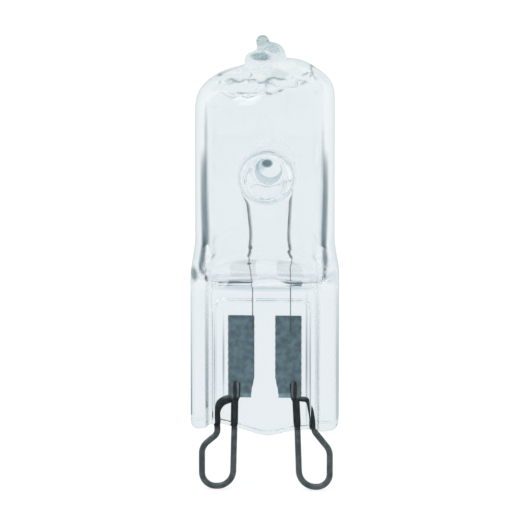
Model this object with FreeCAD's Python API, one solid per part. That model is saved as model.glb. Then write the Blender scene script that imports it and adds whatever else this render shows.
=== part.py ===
import FreeCAD, Part
import math
import os
from FreeCAD import Vector

os.makedirs("parts", exist_ok=True)

# All sizes are in mm. The middle of the pinch's bottom edge is the origin, +Z runs up the
# lamp's middle line to its tip, +X runs from one contact loop to the other, -Y is the front.

# contact loops
CONTACT_SPACING = 9.0    # middle of one loop to the middle of the other
CONTACT_WIRE = 0.58      # diameter of the round contact wire
LOOP_WIDTH = 3.0         # wire centre to wire centre across one loop
LOOP_DROP = 5.96         # how far a loop reaches below the pinch
LOOP_BEND = 0.85         # radius of the two bends in the outer leg
LOOP_KNEE_Z = -0.35      # height of the bend just under the glass
GLASS_BEND = 1.25        # radius of its bend towards the foil, inside the glass
OUTER_EXIT = 0.1         # the outer leg leaves the glass this far inside the loop's middle
OUTER_LEAN = 0.15        # and leans outwards this much on its way up to the foil
PADDLE_WIDTH = 0.93      # flattened wire end on the foil
PADDLE_HEIGHT = 1.6
PADDLE_THICK = 0.22
PADDLE_CORNER = 0.2

# quartz tube and dome
TUBE_OD = 13.0
TUBE_WALL = 1.0
NECK_HEIGHT = 5.0        # from the pinch's recess up to the round tube
TUBE_HEIGHT = 16.35      # from there to the top of the dome, beside the sealed tip
DOME_RADIUS = 9.0
DOME_SHIFT = 0.45        # the dome's crown sits this far to the right
DOME_SHOULDER = 2.6      # rounding between the tube and the dome
DOME_WALL = 1.6          # thickness of the glass under the tip
CAP_RADIUS = 12.0        # the same three sizes for the top of the gas space
CAP_SHIFT = 0.8
CAP_SHOULDER = 1.5
VENT_D = 2.3             # mouth of the closed exhaust hole in the middle of the dome
VENT_END_D = 0.32

# sealed tip where the exhaust tube was melted off
TIP_RISE = 2.35          # from the dome to the top of the nipple
TIP_RADIUS = 1.55
TIP_HEIGHT = 2.1
TIP_LIFT = 0.15          # middle of the lump above the top of the dome
TIP_LEAN = 12            # degrees, towards the right loop
LOBE_RIGHT = (1.0, 0.73, 1.8)   # place in X, height above the dome, diameter
LOBE_LEFT = (-1.15, -0.1, 1.6)
NIPPLE_D = 1.2
NIPPLE_NECK_D = 1.0
NIPPLE_SHIFT = -0.22

# pinch seal
PINCH_WIDTH = 13.84
PINCH_HEIGHT = 13.8      # top of the recessed web
RAIL_WIDTH = 1.72
RAIL_THICK = 4.6
RAIL_ROUND = 0.55        # rounding of the rails' long edges
WEB_THICK = 2.4
WEB_LIFT = 0.2           # the pinch's full width begins this far above the recess
POCKET_DRAFT = 0.28      # the recess is this much wider at its mouth, each side
POCKET_ROUND = 0.9
PANEL_INSET = 0.72       # from the recess's side to the pressed panel's side
PANEL_DEPTH = 0.26
PANEL_DRAFT = 0.12
PANEL_TOP_GAP = 1.25     # from the recess's top to the panel's top
BOTTOM_SAG = 0.58        # the web's bottom edge hangs this far in the middle
BOTTOM_LIFT = 0.3        # and rises this far beside the rails
RAIL_FOOT_ROUND = 0.8

# support post made by two dimples pressed in from front and back
POST_X = 0.34
POST_RISE = 5.8          # from the start of the round tube to the middle of the post
POST_RADIUS = 1.85       # of the post's waist
POST_WALL = 0.55         # glass round a dimple
POST_TAPER = 0.4         # the post and the dimples are this much wider at the tube's wall
POST_SPREAD = 1.9        # the post runs out this much wider still into the wall
DIMPLE_GAP = 0.9         # glass left between the floors of the two dimples
DIMPLE_EDGE = 0.4        # rounding of a dimple's floor
DIMPLE_SPREAD = 1.0      # a dimple's mouth is this much wider than its throat
MOUTH_ROUND = 2.0

# foils
FOIL_WIDTH = 2.46
FOIL_HEIGHT = 7.88
FOIL_THICK = 0.05
FOIL_EDGE_THICK = 0.02
FOIL_BOTTOM = 2.96
FOIL_CENTRE = 2.21       # from the lamp's middle line
FOIL_FLAT = 0.9          # half width of the foil's flat middle
FOIL_CORNER = 0.3        # cut off the foil's inner bottom corner

# filament and its leads
COIL_OD = 0.34
COIL_RISE = 2.15         # from the pinch's shoulder to the filament's feet
COIL_FOOT_LEFT = -1.3
COIL_FOOT_RIGHT = 2.3
LEG_SPREAD = 4.2         # between the filament's two legs at the post
COIL_BEND = 0.45
LEAD_WIRE = 0.12
LEAD_BEND = 1.5
LEAD_LIFT = 0.4          # the lead turns towards the filament this far below the shoulder
LEAD_IN_COIL = 1.5       # length of lead inside a filament leg
LEAD_ON_FOIL = 1.5       # length of lead lying on a foil
LEAD_BITE = 0.015        # flat rolled on the lead where it lies on the foil
LEAD_RIGHT = 0.2         # the right lead's place, outwards from the foil's middle
LEAD_LEFT = 0.16         # the left lead's place, from the foil's inner edge

# Sections between the round tube and the flat pinch, from the top down: how far each is
# flattened across the lamp and through it, and its share of the height.
NECK_STEPS = [(0.0, 0.0, 1.0), (0.2, 0.09, 0.76), (0.55, 0.34, 0.56), (0.8, 0.66, 0.36), (0.95, 0.9, 0.18),
              (1.0, 1.0, 0.0)]
THROAT_STEPS = [(0.0, 0.0, 1.0), (0.3, 0.12, 0.7), (0.75, 0.5, 0.36), (0.85, 0.84, 0.12), (1.0, 1.0, 0.0)]
THROAT_LIFT = 0.5        # the gas space begins this far above the shoulder
THROAT_HALF = 0.9        # half its thickness there
THROAT_CORNER = 0.7
OVERLAP = 0.2            # the gas space's two parts run into each other this far

TUBE_R = TUBE_OD / 2
BORE_R = TUBE_R - TUBE_WALL
HALF_W = PINCH_WIDTH / 2
HALF_T = RAIL_THICK / 2
WEB_HALF = WEB_THICK / 2
LOOP_X = CONTACT_SPACING / 2
INNER_LEG = LOOP_X - LOOP_WIDTH / 2
OUTER_LEG = LOOP_X + LOOP_WIDTH / 2
FOIL_TOP = FOIL_BOTTOM + FOIL_HEIGHT
PADDLE_BACK = PADDLE_THICK / 2
FOIL_Y = PADDLE_BACK + FOIL_THICK / 2
SHOULDER = PINCH_HEIGHT + WEB_LIFT
TUBE_START = PINCH_HEIGHT + NECK_HEIGHT
DOME_TOP = TUBE_START + TUBE_HEIGHT
TIP_TOP = DOME_TOP + TIP_RISE
POST_Z = TUBE_START + POST_RISE
DIMPLE_FLOOR_R = POST_RADIUS - POST_WALL
COIL_BOTTOM = SHOULDER + COIL_RISE


def rounded_path(points, radii):
    """A wire of straight runs with a tangent arc at each inner point."""
    edges = []
    start = points[0]
    for i in range(1, len(points) - 1):
        corner = points[i]
        back = (points[i - 1] - corner).normalize()
        ahead = (points[i + 1] - corner).normalize()
        half = back.getAngle(ahead) / 2
        reach = radii[i - 1] / math.tan(half)
        middle = (back + ahead).normalize()
        centre = corner + middle * (radii[i - 1] / math.sin(half))
        arc_in = corner + back * reach
        arc_out = corner + ahead * reach
        arc_mid = centre - middle * radii[i - 1]
        if (arc_in - start).Length > 1e-4:
            edges.append(Part.makeLine(start, arc_in))
        edges.append(Part.Arc(arc_in, arc_mid, arc_out).toShape())
        start = arc_out
    edges.append(Part.makeLine(start, points[-1]))
    return Part.Wire(edges)


def rod(path, diameter):
    """A round wire along a path of straight runs and arcs."""
    runs = []
    for edge in path.Edges:
        start = edge.valueAt(edge.FirstParameter)
        ahead = edge.tangentAt(edge.FirstParameter)
        disc = Part.Face(Part.Wire([Part.Circle(start, ahead, diameter / 2).toShape()]))
        if isinstance(edge.Curve, Part.Line):
            runs.append(disc.extrude(edge.valueAt(edge.LastParameter) - start))
        else:
            turn = math.degrees(edge.LastParameter - edge.FirstParameter)
            runs.append(disc.revolve(edge.Curve.Center, edge.Curve.Axis, turn))
    return runs[0].fuse(runs[1:]).removeSplitter()


def round_run(radius, k, t):
    """A point on run k of a circle cut in eight runs, t from 0 to 1."""
    side = 12
    turn = 24
    starts = [-side, side, turn, 180 - turn, 180 - side, 180 + side, 180 + turn, 360 - turn, 360 - side]
    angle = math.radians(starts[k] + (starts[k + 1] - starts[k]) * t)
    return radius * math.cos(angle), radius * math.sin(angle)


def flat_run(half_x, half_y, corner, k, t):
    """A point on run k of a rounded rectangle cut in the same eight runs."""
    in_x = half_x - corner
    in_y = half_y - corner
    signs = [(1, 1), (-1, 1), (-1, -1), (1, -1)]
    if k % 2 == 1:
        sign_x, sign_y = signs[k // 2]
        angle = math.radians(90 * (k // 2) + 90 * t)
        return sign_x * in_x + corner * math.cos(angle), sign_y * in_y + corner * math.sin(angle)
    if k == 0:
        return half_x, in_y * (2 * t - 1)
    if k == 2:
        return in_x * (1 - 2 * t), half_y
    if k == 4:
        return -half_x, in_y * (1 - 2 * t)
    return in_x * (2 * t - 1), -half_y


def section(radius, half_x, half_y, corner, across, through, z):
    """A closed section between the round tube and the flat pinch.

    across and through run from 0, the round, to 1, the flat, in X and in Y.
    """
    edges = []
    for k in range(8):
        points = []
        for i in range(9):
            t = i / 8
            x0, y0 = round_run(radius, k, t)
            x1, y1 = flat_run(half_x, half_y, corner, k, t)
            points.append(Vector(x0 + (x1 - x0) * across, y0 + (y1 - y0) * through, z))
        if across == 0 and through == 0:
            edges.append(Part.Arc(points[0], points[4], points[8]).toShape())
        elif across == 1 and through == 1 and k % 2 == 1:
            edges.append(Part.Arc(points[0], points[4], points[8]).toShape())
        elif across == 1 and through == 1:
            edges.append(Part.makeLine(points[0], points[8]))
        else:
            curve = Part.BSplineCurve()
            curve.interpolate(points)
            edges.append(curve.toShape())
    return Part.Wire(edges)


def spun(corners, radii, centre, axis, out):
    """A solid turned round an axis from (height, radius) corners, each inner one rounded."""
    points = [centre + axis * height + out * radius for height, radius in corners]
    edges = rounded_path(points, radii).Edges
    first = centre + axis * corners[0][0]
    last = centre + axis * corners[-1][0]
    if corners[-1][1] > 0:
        edges.append(Part.makeLine(points[-1], last))
    edges.append(Part.makeLine(last, first))
    if corners[0][1] > 0:
        edges.append(Part.makeLine(first, points[0]))
    face = Part.Face(Part.Wire(edges))
    return face.revolve(centre, axis, 360)


def closed_tube(radius, bottom, top, cap_radius, shoulder, shift):
    """A cylinder closed by a shallow dome, whose crown is shifted in X."""
    tube = Part.makeCylinder(radius, top - bottom, Vector(0, 0, bottom))
    middle = top - cap_radius
    roof = Part.makeCylinder(radius + 1, cap_radius + 1, Vector(0, 0, middle))
    roof = roof.cut(Part.makeSphere(cap_radius, Vector(shift, 0, middle)))
    tube = tube.cut(roof)
    rim = [e for e in tube.Edges if e.BoundBox.ZMin > bottom + 1 and e.Length > 2 * radius]
    return tube.makeFillet(shoulder, rim)


def tip_blob():
    """The lump with its two lobes and the nipple."""
    half = TIP_HEIGHT / 2
    corners = [(-half, 0), (-half, TIP_RADIUS * 0.85), (0, TIP_RADIUS * 1.08), (half, TIP_RADIUS * 0.7),
               (half * 1.1, 0)]
    lump = spun(corners, [0.5, 1.0, 0.9], Vector(0, 0, 0), Vector(0, 0, 1), Vector(1, 0, 0))
    lump.rotate(Vector(0, 0, 0), Vector(0, 1, 0), -TIP_LEAN)
    lump.translate(Vector(0, 0, DOME_TOP + TIP_LIFT))
    lobes = []
    for x, rise, diameter in (LOBE_RIGHT, LOBE_LEFT):
        lobes.append(Part.makeSphere(diameter / 2, Vector(x, 0, DOME_TOP + rise)))
    nipple_r = NIPPLE_D / 2
    neck_top = TIP_TOP - nipple_r
    neck = Part.makeCylinder(NIPPLE_NECK_D / 2, neck_top - DOME_TOP, Vector(NIPPLE_SHIFT, 0, DOME_TOP))
    head = Part.makeSphere(nipple_r, Vector(NIPPLE_SHIFT, 0, neck_top))
    return lump.fuse(lobes + [neck, head])


def outer_form():
    """Everything inside the outer skin of the glass, before the dimples."""
    rise = TUBE_START - SHOULDER
    wires = []
    for across, through, share in NECK_STEPS:
        z = SHOULDER + rise * share
        wires.append(section(TUBE_R, HALF_W, HALF_T, RAIL_ROUND, across, through, z))
    shoulder = Part.makeLoft(wires, True, False)
    tube = closed_tube(TUBE_R, TUBE_START, DOME_TOP, DOME_RADIUS, DOME_SHOULDER, DOME_SHIFT)
    block = Part.Face(wires[-1]).extrude(Vector(0, 0, -SHOULDER - 2))
    pinch = block.common(pinch_outline())
    body = shoulder.fuse(pinch)
    body = body.fuse(tube)
    body = body.fuse(tip_blob())
    return body


def pinch_outline():
    """The pinch seen from the front, as a slab with a wavy bottom edge."""
    reach = HALF_W + 1
    top = SHOULDER + 1
    inner = HALF_W - RAIL_WIDTH
    foot = RAIL_FOOT_ROUND
    cut = foot * (1 - math.sqrt(0.5))
    left = [Vector(-reach, 0, top), Vector(-reach, 0, foot), Vector(-HALF_W, 0, foot)]
    left_foot = [left[-1], Vector(-HALF_W + cut, 0, cut), Vector(-HALF_W + foot, 0, 0)]
    right_foot = [Vector(HALF_W - foot, 0, 0), Vector(HALF_W - cut, 0, cut), Vector(HALF_W, 0, foot)]
    right = [right_foot[-1], Vector(reach, 0, foot), Vector(reach, 0, top)]
    wave = [left_foot[-1], Vector(-inner, 0, BOTTOM_LIFT * 0.7), Vector(-inner * 0.86, 0, BOTTOM_LIFT),
            Vector(-inner * 0.5, 0, -BOTTOM_SAG * 0.25), Vector(0, 0, -BOTTOM_SAG),
            Vector(inner * 0.35, 0, -BOTTOM_SAG * 0.85), Vector(inner * 0.68, 0, -BOTTOM_SAG * 0.3),
            Vector(inner * 0.9, 0, BOTTOM_LIFT * 0.5), right_foot[0]]
    curve = Part.BSplineCurve()
    curve.interpolate(wave)
    edges = [Part.makeLine(left[0], left[1]), Part.makeLine(left[1], left[2])]
    edges.append(Part.Arc(*left_foot).toShape())
    edges.append(curve.toShape())
    edges.append(Part.Arc(*right_foot).toShape())
    edges.append(Part.makeLine(right[0], right[1]))
    edges.append(Part.makeLine(right[1], right[2]))
    edges.append(Part.makeLine(right[2], left[0]))
    slab = Part.Face(Part.Wire(edges)).extrude(Vector(0, 2 * HALF_T + 4, 0))
    slab.translate(Vector(0, -HALF_T - 2, 0))
    return slab


def pocket_wire(half_x, top, corner, y):
    """The recess's outline at one depth, open far below the pinch."""
    bottom = -3.0
    dip = corner * (1 - math.sqrt(0.5))
    a = Vector(-half_x, y, bottom)
    b = Vector(-half_x, y, top - corner)
    b_mid = Vector(-half_x + dip, y, top - dip)
    c = Vector(-half_x + corner, y, top)
    d = Vector(half_x - corner, y, top)
    d_mid = Vector(half_x - dip, y, top - dip)
    e = Vector(half_x, y, top - corner)
    f = Vector(half_x, y, bottom)
    edges = [Part.makeLine(a, b), Part.Arc(b, b_mid, c).toShape(), Part.makeLine(c, d),
             Part.Arc(d, d_mid, e).toShape(), Part.makeLine(e, f), Part.makeLine(f, a)]
    return Part.Wire(edges)


def recesses():
    """The recessed web and its pressed panel, on the front and on the back."""
    floor_x = HALF_W - RAIL_WIDTH
    reach = HALF_T + 0.7
    draft = POCKET_DRAFT * (reach - WEB_HALF) / (HALF_T - WEB_HALF)
    panel_x = floor_x - PANEL_INSET
    panel_top = PINCH_HEIGHT - PANEL_TOP_GAP
    cuts = []
    for side in (-1, 1):
        floor = pocket_wire(floor_x, PINCH_HEIGHT, POCKET_ROUND, side * WEB_HALF)
        mouth = pocket_wire(floor_x + draft, PINCH_HEIGHT + draft, POCKET_ROUND, side * reach)
        cuts.append(Part.makeLoft([floor, mouth], True, True))
        low = pocket_wire(panel_x, panel_top, POCKET_ROUND, side * (WEB_HALF - PANEL_DEPTH))
        lip = pocket_wire(panel_x + PANEL_DRAFT, panel_top + PANEL_DRAFT, POCKET_ROUND,
                          side * (WEB_HALF + 0.05))
        cuts.append(Part.makeLoft([low, lip], True, True))
    return cuts


def post_form():
    """The waisted glass post between the two dimples, running into the tube's wall."""
    middle = Vector(POST_X, 0, POST_Z)
    end = BORE_R * 1.15
    root = BORE_R * 0.8
    root_r = POST_RADIUS + POST_TAPER
    end_r = root_r + POST_SPREAD
    corners = [(-end, end_r), (-root, root_r), (-DIMPLE_GAP, POST_RADIUS), (DIMPLE_GAP, POST_RADIUS),
               (root, root_r), (end, end_r)]
    radii = [MOUTH_ROUND, MOUTH_ROUND, MOUTH_ROUND, MOUTH_ROUND]
    return spun(corners, radii, middle, Vector(0, 1, 0), Vector(1, 0, 0))


def dimples():
    """The two dimples pressed in from outside."""
    middle = Vector(POST_X, 0, POST_Z)
    floor = DIMPLE_GAP / 2
    throat_r = DIMPLE_FLOOR_R + POST_TAPER
    corners = [(floor, 0), (floor, DIMPLE_FLOOR_R), (TUBE_R * 0.8, throat_r),
               (TUBE_R * 1.06, throat_r + DIMPLE_SPREAD)]
    radii = [DIMPLE_EDGE, MOUTH_ROUND]
    cuts = []
    for side in (-1, 1):
        cuts.append(spun(corners, radii, middle, Vector(0, side, 0), Vector(1, 0, 0)))
    return cuts


def cavity():
    """The gas space inside the glass, round the support post."""
    bottom = SHOULDER + THROAT_LIFT
    bore_start = TUBE_START + OVERLAP
    rise = bore_start - bottom
    half_x = HALF_W - RAIL_WIDTH + OVERLAP / 2
    cap_top = DOME_TOP - DOME_WALL
    wires = []
    for across, through, share in THROAT_STEPS:
        z = bottom + rise * share
        wires.append(section(BORE_R, half_x, THROAT_HALF, THROAT_CORNER, across, through, z))
    funnel = Part.makeLoft(wires, True, False)
    bore = closed_tube(BORE_R, bore_start, cap_top, CAP_RADIUS, CAP_SHOULDER, CAP_SHIFT)
    vent_rise = DOME_WALL * 0.8
    vent_foot = Vector(NIPPLE_SHIFT, 0, cap_top - OVERLAP)
    vent = Part.makeCone(VENT_D / 2, VENT_END_D / 2, vent_rise, vent_foot)
    space = bore.fuse(funnel)
    space = space.fuse(vent)
    return space.cut(post_form())


def foil(side):
    """One sealing foil: a thin strip with feathered edges."""
    half = FOIL_WIDTH / 2
    flat = min(FOIL_FLAT, half - 0.1)
    thick = FOIL_THICK / 2
    thin = FOIL_EDGE_THICK / 2
    ring = [(-half, -thin), (-flat, -thick), (flat, -thick), (half, -thin), (half, thin), (flat, thick),
            (-flat, thick), (-half, thin), (-half, -thin)]
    points = [Vector(side * FOIL_CENTRE + x, FOIL_Y + y, FOIL_BOTTOM) for x, y in ring]
    strip = Part.Face(Part.makePolygon(points)).extrude(Vector(0, 0, FOIL_HEIGHT))
    inner = side * (FOIL_CENTRE - half)
    corner = [Vector(inner, FOIL_Y - 1, FOIL_BOTTOM), Vector(inner + side * FOIL_CORNER, FOIL_Y - 1, FOIL_BOTTOM),
              Vector(inner, FOIL_Y - 1, FOIL_BOTTOM + FOIL_HEIGHT * 0.3)]
    corner.append(corner[0])
    wedge = Part.Face(Part.makePolygon(corner)).extrude(Vector(0, 2, 0))
    return strip.cut(wedge)


def contact_loop(side):
    """One bent wire loop with both its ends flattened against the foil."""
    wire_r = CONTACT_WIRE / 2
    turn = LOOP_WIDTH / 2
    bend_z = -LOOP_DROP + wire_r + turn
    paddle_low = FOIL_BOTTOM - 0.05
    paddle_mid = paddle_low + PADDLE_HEIGHT / 2
    exit_x = LOOP_X - OUTER_EXIT
    down = Part.makeLine(Vector(INNER_LEG, 0, paddle_mid), Vector(INNER_LEG, 0, bend_z))
    bottom = Part.Arc(Vector(INNER_LEG, 0, bend_z), Vector(LOOP_X, 0, bend_z - turn),
                      Vector(OUTER_LEG, 0, bend_z)).toShape()
    knee = OUTER_LEG - exit_x
    corners = [Vector(OUTER_LEG, 0, bend_z), Vector(OUTER_LEG, 0, LOOP_KNEE_Z - knee),
               Vector(exit_x, 0, LOOP_KNEE_Z), Vector(exit_x + OUTER_LEAN, 0, FOIL_BOTTOM - 0.1),
               Vector(INNER_LEG + 0.1, 0, FOIL_BOTTOM + 0.1)]
    up = rounded_path(corners, [LOOP_BEND, LOOP_BEND, GLASS_BEND])
    wire = rod(Part.Wire([down, bottom]), CONTACT_WIRE)
    wire = wire.fuse(rod(up, CONTACT_WIRE))
    paddle = Part.makeBox(PADDLE_WIDTH, PADDLE_THICK, PADDLE_HEIGHT,
                          Vector(INNER_LEG - PADDLE_WIDTH / 2, -PADDLE_THICK / 2, paddle_low))
    upright = [e for e in paddle.Edges if e.BoundBox.YLength > PADDLE_THICK / 2]
    paddle = paddle.makeFillet(PADDLE_CORNER, upright)
    press = Part.makeBox(PADDLE_WIDTH + 2, 2, PADDLE_HEIGHT * 2,
                         Vector(INNER_LEG - PADDLE_WIDTH / 2 - 1, PADDLE_THICK / 2, paddle_low - 0.4))
    loop = wire.fuse(paddle)
    loop = loop.cut(press)
    if side < 0:
        loop = loop.mirror(Vector(0, 0, 0), Vector(1, 0, 0))
    return loop


def filament_points():
    """Corners of the filament's path: up one leg, through the foot of the post and down the other."""
    top = POST_Z - (POST_RADIUS + DIMPLE_FLOOR_R) / 2
    left = POST_X - LEG_SPREAD / 2
    right = POST_X + LEG_SPREAD / 2
    return [Vector(COIL_FOOT_LEFT, 0, COIL_BOTTOM), Vector(left, 0, top), Vector(right, 0, top),
            Vector(COIL_FOOT_RIGHT, 0, COIL_BOTTOM)]


def inner_lead(side):
    """The thin lead from a foil's top into one leg of the filament."""
    points = filament_points()
    if side < 0:
        foot, knee = points[0], points[1]
        on_foil = -(FOIL_CENTRE - FOIL_WIDTH / 2 + LEAD_LEFT)
    else:
        foot, knee = points[3], points[2]
        on_foil = FOIL_CENTRE + LEAD_RIGHT
    run = (knee - foot).normalize()
    y = FOIL_Y - FOIL_THICK / 2 - LEAD_WIRE / 2 + LEAD_BITE
    low = Vector(on_foil, y, FOIL_TOP - LEAD_ON_FOIL)
    turn = Vector(on_foil, y, SHOULDER - LEAD_LIFT)
    top = foot + run * LEAD_IN_COIL
    path = rounded_path([low, turn, foot, top], [LEAD_BEND, LEAD_BEND])
    return rod(path, LEAD_WIRE).cut(foil(side))


def filament():
    """The coiled filament as one even hairpin of the coil's outer size, its middle held in the post."""
    path = rounded_path(filament_points(), [COIL_BEND, COIL_BEND])
    coil = rod(path, COIL_OD)
    for side in (-1, 1):
        coil = coil.cut(inner_lead(side))
    return coil


def glass_envelope():
    """Tube, dome, dimpled post and pinch, closed round the metal parts."""
    glass = outer_form()
    for cut in recesses():
        glass = glass.cut(cut)
    for cut in dimples():
        glass = glass.cut(cut)
    glass = glass.cut(cavity())
    for side in (-1, 1):
        glass = glass.cut(foil(side))
        glass = glass.cut(contact_loop(side))
        glass = glass.cut(inner_lead(side))
    return glass.cut(filament())


def save(name, shape):
    solids = shape.Solids
    if len(solids) == 1:
        shape = solids[0]
    shape.exportStep("parts/" + name + ".step")


save("glass_envelope", glass_envelope())
save("foil_left", foil(-1))
save("foil_right", foil(1))
save("contact_loop_left", contact_loop(-1))
save("contact_loop_right", contact_loop(1))
save("inner_lead_left", inner_lead(-1))
save("inner_lead_right", inner_lead(1))
save("filament", filament())
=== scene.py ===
import math

import bpy
import numpy as np
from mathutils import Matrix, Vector


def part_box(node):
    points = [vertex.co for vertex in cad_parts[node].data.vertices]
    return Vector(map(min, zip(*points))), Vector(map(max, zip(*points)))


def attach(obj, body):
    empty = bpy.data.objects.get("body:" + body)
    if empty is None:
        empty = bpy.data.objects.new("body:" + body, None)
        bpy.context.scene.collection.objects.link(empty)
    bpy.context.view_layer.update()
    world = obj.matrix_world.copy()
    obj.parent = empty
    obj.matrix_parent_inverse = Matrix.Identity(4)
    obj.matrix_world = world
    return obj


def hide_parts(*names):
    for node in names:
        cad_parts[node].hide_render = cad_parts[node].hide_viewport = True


# Lengths of the lamp's forms are in mm, in the frame's own axes, and MM turns them into metres.
MM = 0.001

# the photograph: 527 pixels each way, one pixel is 0.0934 mm at the lamp
PIXEL = 0.0934 * MM
FRAME_PIXELS = 527
VIEW_AZIMUTH = 2.5
VIEW_ELEVATION = 12.0
VIEW_DISTANCE = 0.6
VIEW_TARGET = Vector((-0.13 * MM, 0, 15.76 * MM))
SENSOR_WIDTH = 36

# outside of the tube and the dome
TUBE_R = 6.5
SQUEEZE_START = 14.0     # the pinch begins to open into the round tube here
SQUEEZE_END = 18.9
SHOULDER_RISE = 5.3      # how far the front and the back move outwards there
SHOULDER_OVER = 0.4      # they go on moving this far above the end of the squeeze
OVAL = 0.93              # depth over width of the oval that the pinch's corners keep inside
LONG_EDGE_BLEND = (0.9, 0.7)   # rounding of the pinch's long edges, and what is added to it at the tube
DOME_R = 9.0
DOME_TOP = 35.15
DOME_SHIFT = 0.45        # the dome's crown leans to the right
DOME_BLEND = 1.4
CROWN_WAVES = ((0.32, 3.6, 1.9), (-0.36, -2.1, 1.7))   # height, place in X and width of each
CROWN_WAVE_DEPTH = 4.5   # their width from front to back

# melted tip: a flattened lump, a lobe on each side and the nipple on its stem
LUMP_Z = 35.2
LUMP_R = 1.3
LUMP_WIDE = 1.25
LUMP_DEEP = 1.15
LUMP_FLAT = 1.25
LUMP_TILT = 0.16
LUMP_BLEND = 0.35
RIGHT_LOBE = ((0.6, 0.1, 35.42), 1.31)
LEFT_LOBE = ((-1.03, -0.3, 35.03), 0.84)
LOBE_BLEND = 0.3
STEM_X = -0.22
STEM_Z = 35.9            # the stem's middle
STEM_R = 0.5
STEM_HALF = 1.0
STEM_BLEND = 0.3
NIPPLE = ((-0.2, 0.0, 36.82), 0.6)
NIPPLE_BLEND = 0.2
TIP_BLEND = 0.7

# pinch: each face has a recess between its rails, and a panel pressed into the recess
PINCH_X = 6.92
RAIL_Y = 2.3
EDGE_Z = 0.32            # its lower edge: height, waves, slope from front to back and rounding
EDGE_WAVES = ((0.33, -4.5, 1.5), (-0.78, 0.3, 2.2), (-0.15, 3.8, 1.2))
EDGE_SLOPE = 0.1
EDGE_BLEND = 0.9
PRESS_CORNER_R = 0.9
RECESS_X = 5.06
RECESS_SHIFT = -0.13
RECESS_TOP = 13.8
WEB_Y = 1.2
RECESS_DRAFT = 0.25
RECESS_BLEND = (0.4, 0.3)   # rounding at the floor and at the rim
PANEL_X = 4.46
PANEL_SHIFT = -0.2
PANEL_TOP = 12.28
PANEL_Y = 0.95
PANEL_DRAFT = 0.4
PANEL_BLEND = (0.2, 0.16)

# support post and its two dimples
POST_X = 0.34
POST_Z = 24.6
POST_R = 1.8
POST_BLEND = 0.8
DIMPLE_FLOOR = 0.42      # from the middle of the post to the floor of a dimple
DIMPLE_DISH = 0.07       # the floor rises by this times the square of the distance from its middle
DIMPLE_R = 1.42
DIMPLE_BLEND = (0.2, 0.3)
FLARE = 0.08             # the post and its dimples widen by this towards the tube's wall
POST_LEAN = 0.07         # their middle line rises a little towards the front

# hollow: the bore, its crown, the opening left under the tip, and the wedge that it ends in below
BORE_R = 5.53
BORE_WIDEST_Z = 30.0
BORE_TAPER = 0.0012      # the bore narrows by this times the square of the distance from there
CAP_R = 14.0
CAP_TOP = 33.5
CAP_SHIFT = 1.2
CAP_BLEND = 2.2
CAP_RIPPLE = 0.055       # unevenness under the dome, which grows in between two heights
CAP_RIPPLE_Z = (31.0, 33.0)
WALL_WAVE = 0.02         # how far the hollow wanders to the front and back on its way up
VENT_X = -0.2
VENT_R = 1.15            # radius of the opening at VENT_LOW, and how fast it narrows upwards
VENT_LOW = 33.2
VENT_TAPER = 0.62
VENT_Z = 33.8            # middle and half of its height
VENT_HALF = 1.0
VENT_BLEND = 0.5
HOLLOW_INSET = 0.1       # the hollow's flat part is this much narrower than the bore, with a bulge low down
HOLLOW_BULGE = ((0.3, 16.0, 1.3),)
HOLLOW_BLEND = (0.5, 1.0)   # rounding of its long edges, and what is added to it at the tube
FACE_WALL = 1.4 * (TUBE_R - BORE_R)
WEDGE_HALF = 0.3
WEDGE_SLOPE = 1.4
WEDGE_BLEND = 0.6
BOTTOM_RIPPLE = 0.08
BOTTOM_WAVES = ((0.5, 0.3, 1.9),)
BOTTOM_BLEND = 0.9

# grid that the glass is meshed on, and how many times the mesh is evened out
GLASS_CELL = 0.2
GLASS_LOW = (-7.3, -7.1, -1.1)
GLASS_HIGH = (7.3, 7.1, 38.0)
GLASS_ROUNDS = 4

# foils
FOIL_X = 2.21
FOIL_HALF = 1.23
FOIL_LOW = 2.96
FOIL_HIGH = 10.84
FOIL_Y = 0.135
FOIL_EDGE = 0.01         # half the thickness at the edges, and what the middle has more
FOIL_CROWN = 0.015
FOIL_CUT = 0.3           # at the bottom the inner edge is cut back by this, above the cut's height not at all
FOIL_CUT_HEIGHT = 2.4
FOIL_CRINKLE = 0.012     # waves of the edges, and of the face
FOIL_BOW = 0.006

# wires of the two contact loops: legs, turns, bends and crooks are those of the left and of the right one,
# and a place across is a distance from the lamp's middle
ROUTE_STEP = 0.1         # distance between the points along a wire
ARC_STEPS = 16
WIRE_R = 0.29
SEALED_SWELL = 0.055     # the wires look this much thicker inside the glass, growing between two heights
SEALED_SWELL_Z = (0.1, 0.6)
LEG_TOP = (2.79, 2.84)   # inner leg at its flattened end, where it leaves the glass, and at the bottom turn
LEG_EXIT = (2.86, 3.05)
LEG_LOW = (3.02, 3.25)
LEG_LAP = 1.6            # length of the flattened end on the foil
LEG_EXIT_Z = 0.3
LEG_BEND_R = 6.0
LOOP_BOTTOM = -5.96
OUTER_LEG = (5.92, 6.1)
LOOP_TURNS = ((1.53, 1.3), (1.56, 1.24))   # radii of each loop's bottom turn
LOOP_BENDS = (((5.92, -1.87), (4.42, -0.58)), ((6.1, -2.12), (4.63, -0.28)))
LOOP_BEND_R = (1.4, 0.9)    # radii of the two bends, the same in both loops
CROOKS = (((4.55, 0.9), (4.78, 2.62)), ((4.6, 0.8), (4.08, 2.85)))   # bends of each outer leg in the glass
CROOK_R = ((1.0, 1.5), (1.0, 0.5))
CROOK_SWELL = (0.07, -0.09)
CROOK_SWELL_Z = (0.2, 1.0)
LOOP_END_GAP = 0.08      # the outer leg ends this far under the foil's lower edge
PADDLE = (0.49, 0.11)    # half width and half thickness of the flattened end
PADDLE_Z = (-0.45, 0.15)    # it is flattened between these heights over the foil's lower edge
END_PINCH = 0.08         # the outer leg's end is this much narrower
END_POINTS = (9, 2)      # and flattened over its last points, between these counts from its end
CUT_POINTS = 3           # the flattened end is rounded off over its first points
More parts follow.
